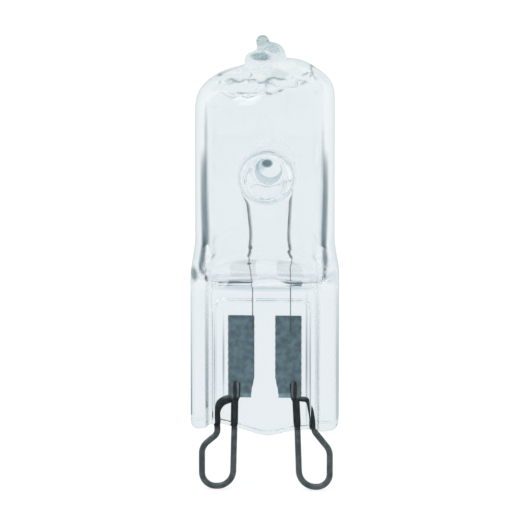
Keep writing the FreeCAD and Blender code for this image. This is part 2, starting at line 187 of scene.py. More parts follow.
CUT_LEAST = 0.09         # square of the share of its width that is left at its very end

# inner leads and filament
LEAD_R = 0.05
LEAD_SUNK = 0.015        # how deep the leads sit in the front of the foils
LEAD_Y = FOIL_Y - FOIL_EDGE - FOIL_CROWN - LEAD_R + LEAD_SUNK
LEAD_X = (-(FOIL_X - FOIL_HALF + 0.16), FOIL_X + 0.2)
LEAD_LAP = 1.5           # length on the foil, and length inside the coil
LEAD_INSERT = 1.5
LEAD_BEND_Z = 13.6
LEAD_BEND_R = 1.5
COIL_R = 0.13            # middle of the coiled wire from the coil's middle line
COIL_WIRE_R = 0.05
COIL_PITCH = 0.2
COIL_STEPS = 16          # points in one turn of the coil
COIL_FADE = (70, 40)     # the coils die out between these numbers of points before the bar
COIL_LOW = 16.15
COIL_FEET = (-1.45, 2.38)
COIL_KNEES = (-1.27, 2.22)   # the legs bow inwards a little above their feet
COIL_KNEE_Z = 18.6
COIL_KNEE_R = 8.0
COIL_TOPS = (-1.7, 2.44)
COIL_TOP_R = 0.4
BAR_Z = 23.02            # the filament's middle, held in the foot of the post
BAR_THINNER = 0.02
BAR_STEPS = 6            # the bar keeps one in so many of the route's points

# colours of the glass, and the darker ones that it is multiplied by as painted shade in places
GLASS_TINT = (0.907, 0.937, 0.952)
PINCH_TINT = (0.828, 0.878, 0.91)
TIP_TINT = (0.52, 0.63, 0.64)
POST_TINT = (0.9, 0.935, 0.945)
SPOT_TINT = (0.18, 0.25, 0.28)
POST_SIDE_SHADE = (0.72, 0.8, 0.83)
EDGE_TINT = (0.35, 0.42, 0.44)
DEEP_SHADE_TINT = (0.07, 0.11, 0.13)
LINE_TINT = (0.36, 0.42, 0.44)
FAINT_LINE_TINT = (0.5, 0.55, 0.57)
SHELF_TINT = (0.68, 0.76, 0.79)
WISP_SHADE = (0.12, 0.19, 0.21)
TIP_BAND_TINT = (0.28, 0.39, 0.4)
CLEAR_SHADOW = (0.9, 0.92, 0.93)
TRAPPED_GLOW = (0.86, 0.9, 0.92)
TRAPPED_DEPTH = 2.5      # light that is mirrored more often than this is given the glow
# painted shade: the glass is darker at the pinch and at the melted tip, by height
GLASS_LEVELS = [(13.0, PINCH_TINT), (15.0, GLASS_TINT), (34.9, GLASS_TINT), (36.6, TIP_TINT)]

# painted shade in the glass, where refraction would show dark: the middle of each place, how much a distance
# from it counts along each axis, the distances within which the tint is full and beyond which it is gone, and
# the tint
GLASS_SPOTS = [
    # painted shade on the post's end, with a darker painted spot and fainter painted shade beside it
    ((POST_X, 0.0, POST_Z), (1.0, 0.0, 1.0), 1.35, 1.55, POST_TINT),
    ((0.22, 0.0, 25.35), (1.0, 0.0, 1.3), 0.38, 0.6, SPOT_TINT),
    ((-0.45, 0.0, 25.25), (1.0, 0.0, 0.8), 0.3, 0.7, POST_SIDE_SHADE),
    # painted shade in a band across the tip
    ((-0.3, -0.6, 35.55), (0.62, 0.4, 1.6), 0.5, 0.72, TIP_BAND_TINT),
    # painted shade in upright lines near the sides of the tube, low down and high up
    ((-5.65, -3.7, 17.5), (1.0, 0.35, 0.17), 0.16, 0.42, DEEP_SHADE_TINT),
    ((5.76, -3.7, 17.4), (1.0, 0.35, 0.17), 0.16, 0.42, DEEP_SHADE_TINT),
    ((-5.31, -3.76, 28.3), (1.0, 0.35, 0.07), 0.05, 0.3, LINE_TINT),
    ((5.52, -3.38, 27.2), (1.0, 0.35, 0.08), 0.05, 0.26, FAINT_LINE_TINT),
    ((-5.43, -3.7, 17.6), (1.0, 0.35, 0.15), 0.08, 0.3, SPOT_TINT),
    # painted shade in their crooked lower ends on the shoulders
    ((-5.83, -3.3, 16.2), (1.0, 0.3, 0.3), 0.1, 0.3, DEEP_SHADE_TINT),
    ((-5.6, -3.1, 15.67), (1.0, 0.3, 0.4), 0.08, 0.25, DEEP_SHADE_TINT),
    ((-5.37, -2.6, 14.98), (1.0, 0.3, 0.4), 0.08, 0.25, DEEP_SHADE_TINT),
    ((5.67, -2.9, 15.4), (1.0, 0.3, 0.3), 0.08, 0.3, DEEP_SHADE_TINT),
    # painted shade in a patch on the outer end of each shoulder
    ((-6.53, -2.3, 15.2), (1.0, 0.2, 0.6), 0.25, 0.58, DEEP_SHADE_TINT),
    ((6.27, -2.3, 15.0), (1.0, 0.2, 1.0), 0.4, 0.8, SHELF_TINT),
    # painted shade along the upper edge of the recess
    ((-0.1, 0.0, 13.6), (0.05, 0.0, 1.0), 0.15, 0.3, SHELF_TINT),
]
# painted shade along the upright edges of the recess and the panel: place in X and half width of each tint
PRESSED_EDGES = [(-5.33, 0.22), (-4.67, 0.1), (-3.87, 0.1), (3.93, 0.15), (4.26, 0.11), (4.97, 0.2)]
PRESSED_EDGE_Z = 6.5
PRESSED_EDGE_WEIGHT = (1.0, 0.0, 0.02)
PRESSED_EDGE_INNER = 0.02

# painted shade in wisps under the dome: a ring around an upright line, moved about and broken up by noise
WISP_X = 0.3
WISP_R = 4.4
WISP_WIDTH = 0.26
WISP_WOBBLE = 2.4
WISP_SCALE = 420
WISP_DETAIL = 3
WISP_BREAKS = (0.46, 0.54)
WISP_Z = (31.2, 31.6)

# metals: colours, noise that mottles them, and painted shade on the ends of the wires
WIRE_COLOR = (0.15, 0.18, 0.19)
FOIL_COLOR = (0.32, 0.47, 0.53)
LEAD_COLOR = (0.38, 0.42, 0.43)
COIL_COLOR = (0.34, 0.38, 0.39)
MOTTLE_SCALE = 1500
FOIL_MOTTLE_SCALE = 1700
MOTTLE_DETAIL = 6
MOTTLE_STOPS = ((0.36, 0.75), (0.64, 1.25))
WIRE_END_SHADE = (0.17, 0.17, 0.17)
BURIED_Z = 3.7
BURIED_EDGE = 0.45       # from the middle of the flattened end to the painted shadow line along its inner edge

# surroundings: colours, and the parts of a ray's direction between which each of them comes in
WHITE = (1.0, 1.0, 1.0)
GAP_COLOR = (0.15, 0.22, 0.255)
DIM_COLOR = (0.12, 0.13, 0.14)
PALE_COLOR = (0.5, 0.6, 0.63)
PLAIN_STRENGTH = 0.9     # of the world's light on what isn't glass or gloss
PANELS = 4.0             # panels all around, of which those at the back have gaps between them
GAP_LOW = (-0.32, -0.28)
GAP_HIGH = (-0.208, -0.232)
GAP_BACK = (0.1, 0.3)
GAP_WIDTH = (-0.1, -1.0)
ROOM_UP = (-0.1, 0.1)
ROOM_FRONT = (0.1, -0.3)
ROOM_SHARE = 0.5
REFLECTED_STOPS = [(0.0, DIM_COLOR), (0.35, DIM_COLOR), (0.75, PALE_COLOR)]
FLOOR_HALF = 1500
FLOOR_COLOR = (0.3, 0.3, 0.3)
FLOOR_GLOW = 0.75
KEY_SIZE = 0.3           # metres, as the key light's place is
KEY_POWER = 0.6
KEY_PLACE = (-0.25, -0.2, 0.5)


def smooth_step(value, start, end):
    """0 before start, 1 after end, and a soft rise between them."""
    t = np.clip((value - start) / (end - start), 0, 1)
    return t * t * t * (t * (6 * t - 15) + 10)


def bell(value, centre, width):
    return np.exp(-((value - centre) / width) ** 2)


def waves(value, base, rows):
    """Bell-shaped waves on top of a base, each with its height, place and width."""
    return sum((height * bell(value, centre, width) for height, centre, width in rows), base)


def smooth_max(a, b, blend):
    """The larger of two fields, with their crease rounded over the blend's width."""
    near = np.maximum(blend - np.abs(a - b), 0) / blend
    return np.maximum(a, b) + near ** 3 * blend / 6


def smooth_min(a, b, blend):
    return -smooth_max(-a, -b, blend)


def ball(x, y, z, centre, radius):
    return np.sqrt((x - centre[0]) ** 2 + (y - centre[1]) ** 2 + (z - centre[2]) ** 2) - radius


def crown(x, y, z, top, radius, shift):
    """A shallow dome over everything below it, fuller on the right of its middle."""
    middle = top - radius
    swell = waves(x, 0.0, CROWN_WAVES) * bell(y, 0, CROWN_WAVE_DEPTH)
    return ball(x, y, np.maximum(z - swell, middle), (shift, 0.0, middle), radius)


def pressed(x, y, z, half_x, top, depth, draft, edge):
    """A pocket pressed into both faces, with sloping sides and rounded upper corners."""
    corner = PRESS_CORNER_R
    widen = np.maximum(np.abs(y) - depth, 0) * draft
    side = np.abs(x) - half_x - widen
    up = z - top - widen
    outline = np.minimum(np.maximum(side, up), -corner)
    outline = outline + np.hypot(np.maximum(side + corner, 0), np.maximum(up + corner, 0))
    return smooth_max(outline, depth - np.abs(y), edge)


def bottom_edge(x, y):
    """Height of the pinch's wavy lower edge."""
    return waves(x, EDGE_Z, EDGE_WAVES) + EDGE_SLOPE * y


def tip(x, y, z):
    """The lump, its lobes and the nipple left where the exhaust tube was melted off."""
    flat = (z - LUMP_TILT * x - LUMP_Z) * LUMP_FLAT
    lump = ball(x / LUMP_WIDE, y / LUMP_DEEP, flat, (0.0, 0.0, 0.0), LUMP_R)
    lobes = smooth_min(ball(x, y, z, *RIGHT_LOBE), ball(x, y, z, *LEFT_LOBE), LOBE_BLEND)
    lump = smooth_min(lump, lobes, LUMP_BLEND)
    stem = smooth_max(np.hypot(x - STEM_X, y) - STEM_R, np.abs(z - STEM_Z) - STEM_HALF, STEM_BLEND)
    nipple = smooth_min(stem, ball(x, y, z, *NIPPLE), NIPPLE_BLEND)
    return smooth_min(lump, nipple, LUMP_BLEND)


def squeezed_half(z):
    """Half the thickness of the glass body, front to back."""
    t = np.clip((z - SQUEEZE_START) / (SQUEEZE_END + SHOULDER_OVER - SQUEEZE_START), 0, 1)
    return RAIL_Y + SHOULDER_RISE * t * t * (3 - 2 * t)


def from_post(x, y, z):
    """Distance from the post's middle line, in X and Z."""
    return np.hypot(x - POST_X, z - POST_Z + POST_LEAN * y)


def outer_skin(x, y, z):
    """Field of the glass's outside: below 0 inside it."""
    open_up = smooth_step(z, SQUEEZE_START, SQUEEZE_END)
    round_side = np.hypot(x, y) - TUBE_R
    flat_side = np.abs(x) - PINCH_X
    side = flat_side + (round_side - flat_side) * open_up
    side = np.maximum(side, np.hypot(OVAL * x, y) - TUBE_R)
    faces = np.abs(y) - squeezed_half(z)
    body = smooth_max(side, faces, LONG_EDGE_BLEND[0] + LONG_EDGE_BLEND[1] * open_up)
    body = smooth_max(body, crown(x, y, z, DOME_TOP, DOME_R, DOME_SHIFT), DOME_BLEND)
    body = smooth_min(body, tip(x, y, z), TIP_BLEND)
    body = smooth_max(body, bottom_edge(x, y) - z, EDGE_BLEND)
    recess = pressed(x - RECESS_SHIFT, y, z, RECESS_X, RECESS_TOP, WEB_Y, RECESS_DRAFT, RECESS_BLEND[0])
    body = smooth_max(body, -recess, RECESS_BLEND[1])
    panel = pressed(x - PANEL_SHIFT, y, z, PANEL_X, PANEL_TOP, PANEL_Y, PANEL_DRAFT, PANEL_BLEND[0])
    body = smooth_max(body, -panel, PANEL_BLEND[1])
    reach = from_post(x, y, z)
    dish = DIMPLE_FLOOR + DIMPLE_DISH * reach ** 2
    dimple = smooth_max(reach - DIMPLE_R - FLARE * np.abs(y), dish - np.abs(y), DIMPLE_BLEND[0])
    return smooth_max(body, -dimple, DIMPLE_BLEND[1])


def gas_space(x, y, z):
    """Field of the hollow inside the glass: below 0 inside the hollow."""
    open_up = smooth_step(z, SQUEEZE_START, SQUEEZE_END)
    round_side = np.hypot(x, y) - BORE_R + BORE_TAPER * (z - BORE_WIDEST_Z) ** 2
    flat_side = np.abs(x) - BORE_R + HOLLOW_INSET - waves(z, 0.0, HOLLOW_BULGE)
    side = flat_side + (round_side - flat_side) * open_up
    faces = np.abs(y) - squeezed_half(z) + FACE_WALL
    wedge = np.abs(y) - WEDGE_HALF - WEDGE_SLOPE * (z - SQUEEZE_START)
    faces = smooth_max(faces, wedge, WEDGE_BLEND)
    space = smooth_max(side, faces, HOLLOW_BLEND[0] + HOLLOW_BLEND[1] * open_up)
    space = smooth_max(space, crown(x, y, z, CAP_TOP, CAP_R, CAP_SHIFT), CAP_BLEND)
    bottom = waves(x, SQUEEZE_START + BOTTOM_RIPPLE * np.sin(1.7 * x), BOTTOM_WAVES)
    space = smooth_max(space, bottom - z, BOTTOM_BLEND)
    vent = np.hypot(x - VENT_X, y) - VENT_R + (z - VENT_LOW) * VENT_TAPER
    vent = np.maximum(vent, np.abs(z - VENT_Z) - VENT_HALF)
    space = smooth_min(space, vent, VENT_BLEND)
    post = from_post(x, y, z) - POST_R - FLARE * np.abs(y)
    return smooth_max(space, -post, POST_BLEND)


def glass_field(points):
    """Field of the glass itself, with a little unevenness of hand-worked quartz."""
    x, y, z = points
    high = smooth_step(z, *CAP_RIPPLE_Z)
    ripple = CAP_RIPPLE * high * np.sin(2.3 * x + 0.8 * y) * np.sin(1.9 * y - 0.7 * x + 1.0)
    inside = gas_space(x, y - WALL_WAVE * np.sin(0.6 * z), z + ripple)
    return np.maximum(outer_skin(x, y, z), -inside)


def slopes(field, points, step=1e-3):
    """How fast a field rises along each axis."""
    result = np.empty_like(points)
    for axis in range(3):
        shift = np.zeros((3, 1))
        shift[axis] = step
        result[axis] = (field(points + shift) - field(points - shift)) / (2 * step)
    return result


def onto_surface(field, points, rounds=2, least_slope=0.05, longest_move=0.1):
    """Moves points along the field's slope until the field is zero there."""
    for _ in range(rounds):
        slope = slopes(field, points)
        steep = np.maximum((slope ** 2).sum(0), least_slope)
        points = points - slope * np.clip(field(points) / steep, -longest_move, longest_move)
    return points


def surface_net(field, low, high, cell):
    """A mesh of quads on a field's zero surface, with one point in each grid cell that it crosses."""
    axes = [np.arange(a, b + cell, cell) for a, b in zip(low, high)]
    value = field(np.array(np.meshgrid(*axes, indexing="ij")))
    step = np.eye(3, dtype=int)
    corners = []
    places = []
    for axis in range(3):
        near = np.delete(value, -1, axis)
        far = np.delete(value, 0, axis)
        place = np.argwhere((near < 0) != (far < 0))
        start = near[tuple(place.T)]
        share = start / (start - far[tuple(place.T)])
        u = step[(axis + 1) % 3]
        v = step[(axis + 2) % 3]
        around = np.array([place, place - u, place - u - v, place - v])
        leaving = start < 0
        around[:, ~leaving] = around[::-1, ~leaving]
        corners.append(np.ravel_multi_index(tuple(np.moveaxis(around, 2, 0)), value.shape).T)
        places.append(place + share[:, None] * step[axis])
    corners = np.concatenate(corners)
    places = np.repeat(np.concatenate(places), 4, axis=0)
    _, index = np.unique(corners.ravel(), return_inverse=True)
    index = index.ravel()
    count = np.bincount(index)
    points = np.array([np.bincount(index, places[:, i]) / count for i in range(3)])
    points = points * cell + np.array(low)[:, None]
    return points, index.reshape(-1, 4)


def even_out(field, points, faces, rounds):
    """Spreads a net's points evenly over the surface."""
    first = faces.ravel()
    second = np.roll(faces, -1, axis=1).ravel()
    size = points.shape[1]
    count = np.bincount(first, minlength=size) + np.bincount(second, minlength=size)
    for _ in range(rounds):
        total = np.array([np.bincount(first, row[second], size) + np.bincount(second, row[first], size)
                          for row in points])
        points = onto_surface(field, points * 0.5 + total / count * 0.5, 1)
    return onto_surface(field, points)


def add_object(name, points, faces, material, normals=None):
    """A smooth mesh object from points in mm."""
    mesh = bpy.data.meshes.new(name)
    mesh.from_pydata((np.asarray(points) * MM).tolist(), [], faces)
    mesh.polygons.foreach_set("use_smooth", [True] * len(mesh.polygons))
    if normals is not None:
        mesh.normals_split_custom_set_from_vertices(normals.tolist())
    mesh.materials.append(material)
    obj = bpy.data.objects.new(name, mesh)
    bpy.context.scene.collection.objects.link(obj)
    return obj


def finish(piece, node):
    """Hides the CAD node that a piece stands for, and sets the piece to ride on the root body."""
    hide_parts(node)
    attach(piece, "root")


def glass_body():
    """The quartz envelope as one smooth skin outside and one inside."""
    points, faces = surface_net(glass_field, GLASS_LOW, GLASS_HIGH, GLASS_CELL)
    points = even_out(glass_field, points, faces, GLASS_ROUNDS)
    normals = slopes(glass_field, points)
    normals = normals / np.sqrt((normals ** 2).sum(0))
    piece = add_object("quartz_body", points.T, faces.tolist(), glass_material(), normals.T)
    finish(piece, "glass_envelope")


def rounded_route(corners, radii, step):
    """Evenly spaced points along straight runs that tangent arcs join, in X and Z."""
    corners = [complex(*corner) for corner in corners]
    line = [corners[0]]
    for before, corner, after, radius in zip(corners, corners[1:], corners[2:], radii):
        back = (before - corner) / abs(before - corner)
        ahead = (after - corner) / abs(after - corner)
        half = math.acos(max(-1.0, min(1.0, (back * ahead.conjugate()).real))) / 2
        middle = (back + ahead) / abs(back + ahead)
        centre = corner + middle * radius / math.sin(half)
        first = corner + back * radius / math.tan(half) - centre
        last = corner + ahead * radius / math.tan(half) - centre
        turn = np.angle(last / first)
        line += [centre + first * np.exp(1j * turn * k / ARC_STEPS) for k in range(ARC_STEPS + 1)]
    line = np.array(line + [corners[-1]])
    length = np.concatenate([[0], np.cumsum(np.abs(np.diff(line)))])
    count = max(2, int(round(length[-1] / step)) + 1)
    at = np.linspace(0, length[-1], count)
    return np.array([np.interp(at, length, line.real), np.interp(at, length, line.imag)]).T


def directions(route):
    """The way ahead at each point of a route."""
    ahead = np.gradient(route, axis=0)
    return ahead / np.linalg.norm(ahead, axis=1)[:, None]


def sweep(name, route, wide, deep, material, node, sides, lift=0.0):
    """A closed rod along a route of points, wide in the route's own plane or across it, deep in Y."""
    route = np.asarray(route, float)
    if route.shape[1] == 2:
        route = np.array([route[:, 0], np.full(len(route), lift), route[:, 1]]).T
    wide = np.broadcast_to(wide, len(route))
    deep = np.broadcast_to(deep, len(route))
    ahead = directions(route)
    across = np.cross(ahead, (0.0, 1.0, 0.0))
    across = across / np.linalg.norm(across, axis=1)[:, None]
    upward = np.cross(across, ahead)
    angle = np.arange(sides) * 2 * math.pi / sides
    ring = wide[:, None, None] * np.cos(angle)[None, :, None] * across[:, None, :]
    ring = ring + deep[:, None, None] * np.sin(angle)[None, :, None] * upward[:, None, :]
    points = (route[:, None, :] + ring).reshape(-1, 3)
    faces = []
    for i in range(len(route) - 1):
        for k in range(sides):
            a = i * sides + k
            b = i * sides + (k + 1) % sides
            faces.append((a, b, b + sides, a + sides))
    end = len(points) - sides
    faces.append(tuple(range(sides)))
    faces.append(tuple(end + k for k in reversed(range(sides))))
    finish(add_object(name, points, faces, material), node)


def contact_loop(index, side, material):
    """One bent wire loop, its straight end flattened where it lies on the foil."""
    low = LOOP_BOTTOM + WIRE_R
    corners = [(LEG_TOP[index], FOIL_LOW + LEG_LAP), (LEG_EXIT[index], LEG_EXIT_Z)]
    corners += [(LEG_LOW[index], low), (OUTER_LEG[index], low)]
    corners += [*LOOP_BENDS[index], *CROOKS[index], (LEG_TOP[index], FOIL_LOW - LOOP_END_GAP)]
    radii = [LEG_BEND_R, *LOOP_TURNS[index], *LOOP_BEND_R, *CROOK_R[index]]
    route = rounded_route(corners, radii, ROUTE_STEP)
    height = route[:, 1]
    point = np.arange(len(route))
    returning = point > len(route) / 2
    flat = smooth_step(height, FOIL_LOW + PADDLE_Z[0], FOIL_LOW + PADDLE_Z[1])
    flat = np.where(returning, 0.0, flat)
    flat_end = smooth_step(point, len(route) - END_POINTS[0], len(route) - END_POINTS[1])
    rod = WIRE_R + SEALED_SWELL * smooth_step(height, *SEALED_SWELL_Z)
    rod = rod + CROOK_SWELL[index] * smooth_step(height, *CROOK_SWELL_Z) * returning
    wide = rod + (PADDLE[0] - rod) * flat - END_PINCH * flat_end
    deep = rod + (PADDLE[1] - rod) * np.maximum(flat, flat_end)
    cut = np.sqrt(np.clip(1 - (1 - point / CUT_POINTS) ** 2, CUT_LEAST, 1))
    wide = wide * np.where(point < CUT_POINTS, cut, 1.0)
    route[:, 0] *= 2 * index - 1
    sweep("bent_wire_" + side, route, wide, deep, material, "contact_loop_" + side, 24)


def foil(index, side, material):
    """A sealing foil: thickest down its middle, feathered at its edges and a little crinkled."""
    columns = 24
    rows = 80
    sign = 2 * index - 1
    across = np.linspace(-1, 1, columns + 1)
    up = np.linspace(FOIL_LOW, FOIL_HIGH, rows + 1)
    along, height = np.meshgrid(across, up)
    cut = FOIL_CUT * (1 - smooth_step(height, FOIL_LOW, FOIL_LOW + FOIL_CUT_HEIGHT))
    x = FOIL_HALF * along
    x = np.where(x < 0, x * (1 - cut / FOIL_HALF), x)
    x = x + np.where(np.abs(along) > 0.95, FOIL_CRINKLE * np.sin(9.0 * height + 2 * along), 0.0)
    half = FOIL_EDGE + FOIL_CROWN * np.sqrt(np.clip(1 - along ** 2, 0, 1))
    bow = FOIL_BOW * np.sin(2.3 * height + 1.5 * along) * (1 - along ** 2)
    front = np.array([sign * (FOIL_X + x), FOIL_Y + bow - half, height])
    back = np.array([sign * (FOIL_X + x), FOIL_Y + bow + half, height])
    points = np.concatenate([front.reshape(3, -1).T, back.reshape(3, -1).T])
    wide = columns + 1
    size = wide * (rows + 1)
    quads = []
    for row in range(rows):
        for column in range(columns):
            a = row * wide + column
            quad = (a, a + 1, a + 1 + wide, a + wide)
            quads += [quad, tuple(size + k for k in reversed(quad))]
    rim = list(range(wide)) + [row * wide + columns for row in range(1, rows + 1)]
    rim += [rows * wide + column for column in reversed(range(columns))]
    rim += [row * wide for row in reversed(range(1, rows))]
    quads += [(b, a, a + size, b + size) for a, b in zip(rim, rim[1:] + rim[:1])]
    faces = [quad if sign > 0 else quad[::-1] for quad in quads]
    finish(add_object("foil_strip_" + side, points, faces, material), "foil_" + side)


def inner_lead(index, side, material):
    """The thin lead from a foil's top into one leg of the filament."""
    foot = np.array([COIL_FEET[index], COIL_LOW])
    knee = np.array([COIL_KNEES[index], COIL_KNEE_Z])
    run = (knee - foot) / np.linalg.norm(knee - foot)
    on_foil = LEAD_X[index]
    corners = [(on_foil, FOIL_HIGH - LEAD_LAP), (on_foil, LEAD_BEND_Z), foot, foot + run * LEAD_INSERT]
    route = rounded_route(corners, [LEAD_BEND_R, LEAD_BEND_R], ROUTE_STEP)
    sweep("thin_lead_" + side, route, LEAD_R, LEAD_R, material, "inner_lead_" + side, 12, LEAD_Y)


def filament(material):
    """The coiled wire: a helix up each leg and a plain bar through the foot of the post."""
    step = COIL_PITCH / COIL_STEPS
    left, right = ([(foot, COIL_LOW), (knee, COIL_KNEE_Z), (top, BAR_Z)]
                   for foot, knee, top in zip(COIL_FEET, COIL_KNEES, COIL_TOPS))
    radii = [COIL_KNEE_R, COIL_TOP_R, COIL_TOP_R, COIL_KNEE_R]
    route = rounded_route(left + right[::-1], radii, step)
    ahead = directions(route)
    point = np.arange(len(route))
    leg = (BAR_Z - COIL_LOW) / step
    start, end = COIL_FADE
    left_fade = smooth_step(point, leg - start, leg - end)
    right_fade = smooth_step(point, len(route) - leg + end, len(route) - leg + start)
    coiled = 1 - left_fade * (1 - right_fade)
    turn = point * 2 * math.pi / COIL_STEPS
    reach = COIL_R * coiled
    x = route[:, 0] - ahead[:, 1] * reach * np.cos(turn)
    y = reach * np.sin(turn) + LEAD_Y * coiled
    z = route[:, 1] + ahead[:, 0] * reach * np.cos(turn)
    keep = (coiled > 0) | (point % BAR_STEPS == 0)
    wire = np.array([x, y, z]).T[keep]
    thick = (COIL_WIRE_R - BAR_THINNER * (1 - coiled))[keep]
    sweep("coiled_filament", wire, thick, thick, material, "filament", 6)


def feed(tree, sockets, values):
    """Gives each input of a node its value, or links it to another node's output."""
    for socket, value in zip(sockets, values):
        if isinstance(value, bpy.types.NodeSocket):
            tree.links.new(value, socket)
        else:
            socket.default_value = value


def number_node(tree, operation, *values):
    """The result of an operation on numbers."""
    made = tree.nodes.new("ShaderNodeMath")
    made.operation = operation
    feed(tree, made.inputs, values)
    return made.outputs["Value"]


def vector_node(tree, operation, *values):
    """The result of an operation on vectors."""
    made = tree.nodes.new("ShaderNodeVectorMath")
    made.operation = operation
    feed(tree, made.inputs, values)
    return made.outputs["Value" if operation == "LENGTH" else "Vector"]


def part_of(tree, vector, axis):
    """One part of a vector."""
    made = tree.nodes.new("ShaderNodeSeparateXYZ")
    tree.links.new(vector, made.inputs["Vector"])
    return made.outputs[axis]


def share_node(tree, value, start, end, kind="LINEAR"):
    """0 where a value is at its start, 1 where it is at its end."""
    made = tree.nodes.new("ShaderNodeMapRange")
    made.interpolation_type = kind
    made.inputs["From Min"].default_value = start
    made.inputs["From Max"].default_value = end
    tree.links.new(value, made.inputs["Value"])
    return made.outputs["Result"]


def ramp_node(tree, value, stops):
    """A colour for a value from 0 to 1, between stops given as (value, colour)."""
    made = tree.nodes.new("ShaderNodeValToRGB")
    elements = made.color_ramp.elements
    while len(elements) < len(stops):
        elements.new(0.5)
    for element, (at, color) in zip(elements, stops):
        element.position = at
        element.color = color + (1,)
    tree.links.new(value, made.inputs["Fac"])
    return made.outputs["Color"]


def height_node(tree, place, levels):
    """A colour for a height, between levels given as (height, colour)."""
    lowest = levels[0][0]
    highest = levels[-1][0]
    height = share_node(tree, part_of(tree, place, "Z"), lowest * MM, highest * MM)
    return ramp_node(tree, height, [((at - lowest) / (highest - lowest), color) for at, color in levels])


def multiply_node(tree, factor, color, other):
    """A colour multiplied by another one, as far as the factor says."""
    made = tree.nodes.new("ShaderNodeMix")
    made.data_type = "RGBA"
    made.blend_type = "MULTIPLY"
    feed(tree, (made.inputs[0], made.inputs[6], made.inputs[7]), (factor, color, other))
    return made.outputs[2]


def noise_node(tree, place, scale, detail):
    made = tree.nodes.new("ShaderNodeTexNoise")
    made.inputs["Scale"].default_value = scale
    made.inputs["Detail"].default_value = detail
    tree.links.new(place, made.inputs["Vector"])
    return made


def light_node(tree, kind, color, strength):
    """An even light of one colour."""
    made = tree.nodes.new(kind)
    feed(tree, (made.inputs["Color"], made.inputs["Strength"]), (color, strength))
    return made.outputs[0]


def mix_node(tree, factor, first, second):
    """The first shader where the factor is 0, the second where it is 1."""
    made = tree.nodes.new("ShaderNodeMixShader")
    feed(tree, made.inputs, (factor, first, second))
    return made.outputs["Shader"]


def new_material(name):
    """An empty node material, and the input that takes its shader."""
    material = bpy.data.materials.new(name)
    material.use_nodes = True
    tree = material.node_tree
    tree.nodes.clear()
    return material, tree, tree.nodes.new("ShaderNodeOutputMaterial").inputs["Surface"]


def tint_spot(tree, place, color, centre, weight, inner, outer, dark):
    """Multiplies a colour by a darker one near a place, weighted along each axis."""
    offset = vector_node(tree, "SUBTRACT", place, tuple(c * MM for c in centre))
    reach = vector_node(tree, "LENGTH", vector_node(tree, "MULTIPLY", offset, weight))
    near = share_node(tree, reach, outer * MM, inner * MM)
    return multiply_node(tree, near, color, dark + (1,))


def shade_wisps(tree, place, color):
    """Paints shade on a colour, multiplying it by a darker one along wisps of a wavy ring under the dome."""
    noise = noise_node(tree, place, WISP_SCALE, WISP_DETAIL)
    spread = (WISP_WOBBLE * MM,) * 3
    back = tuple((-c - WISP_WOBBLE / 2) * MM for c in (WISP_X, 0.0, 0.0))
    wobble = vector_node(tree, "MULTIPLY_ADD", noise.outputs["Color"], spread, back)
    flat = vector_node(tree, "MULTIPLY", vector_node(tree, "ADD", place, wobble), (1.0, 1.0, 0.0))
    off = number_node(tree, "SUBTRACT", vector_node(tree, "LENGTH", flat), WISP_R * MM)
    near = share_node(tree, number_node(tree, "ABSOLUTE", off), WISP_WIDTH * MM, 0.0)
    broken = share_node(tree, noise.outputs["Fac"], *WISP_BREAKS)
    high = share_node(tree, part_of(tree, place, "Z"), WISP_Z[0] * MM, WISP_Z[1] * MM)
    factor = number_node(tree, "MULTIPLY", number_node(tree, "MULTIPLY", near, broken), high)
    return multiply_node(tree, factor, color, WISP_SHADE + (1,))


def glass_material():
    """Clear quartz with painted shade at the pinch, the melted tip and the post, and in darker lines, patches
    and wisps.
    """
    material, tree, surface = new_material("clear_quartz")
    place = tree.nodes.new("ShaderNodeTexCoord").outputs["Object"]
    color = height_node(tree, place, GLASS_LEVELS)
    edges = [((x, 0.0, PRESSED_EDGE_Z), PRESSED_EDGE_WEIGHT, PRESSED_EDGE_INNER, half, EDGE_TINT)
             for x, half in PRESSED_EDGES]
    for spot in GLASS_SPOTS + edges:
        color = tint_spot(tree, place, color, *spot)
    color = shade_wisps(tree, place, color)
    shader = tree.nodes.new("ShaderNodeBsdfPrincipled")
    shader.inputs["Roughness"].default_value = 0.0
    shader.inputs["IOR"].default_value = 1.458
    shader.inputs["Transmission Weight"].default_value = 1.0
    tree.links.new(color, shader.inputs["Base Color"])
    path = tree.nodes.new("ShaderNodeLightPath")
    clear = tree.nodes.new("ShaderNodeBsdfTransparent")
    clear.inputs["Color"].default_value = CLEAR_SHADOW + (1,)
    shown = mix_node(tree, path.outputs["Is Shadow Ray"], shader.outputs["BSDF"], clear.outputs["BSDF"])
    trapped = number_node(tree, "GREATER_THAN", path.outputs["Glossy Depth"], TRAPPED_DEPTH)
    glow = light_node(tree, "ShaderNodeEmission", TRAPPED_GLOW + (1,), 1.0)
    tree.links.new(mix_node(tree, trapped, shown, glow), surface)
    return material


def metal_material(name, color, metallic, roughness, mottle, levels, spots=()):
    """A mottled metal, whose brightness follows levels given as (height, brightness), with darker spots of
    painted shade.
    """
    material, tree, surface = new_material(name)
    place = tree.nodes.new("ShaderNodeTexCoord").outputs["Object"]
    noise = noise_node(tree, place, mottle, MOTTLE_DETAIL)
    stops = [(at, tuple(min(1.0, c * bright) for c in color)) for at, bright in MOTTLE_STOPS]
    mottled = ramp_node(tree, noise.outputs["Fac"], stops)
    level = height_node(tree, place, [(at, (bright,) * 3) for at, bright in levels])
    shaded = multiply_node(tree, 1.0, mottled, level)
    for spot in spots:
        shaded = tint_spot(tree, place, shaded, *spot)
    shader = tree.nodes.new("ShaderNodeBsdfPrincipled")
    shader.inputs["Metallic"].default_value = metallic
    shader.inputs["Roughness"].default_value = roughness
    tree.links.new(shaded, shader.inputs["Base Color"])
    tree.links.new(shader.outputs["BSDF"], surface)
    return material


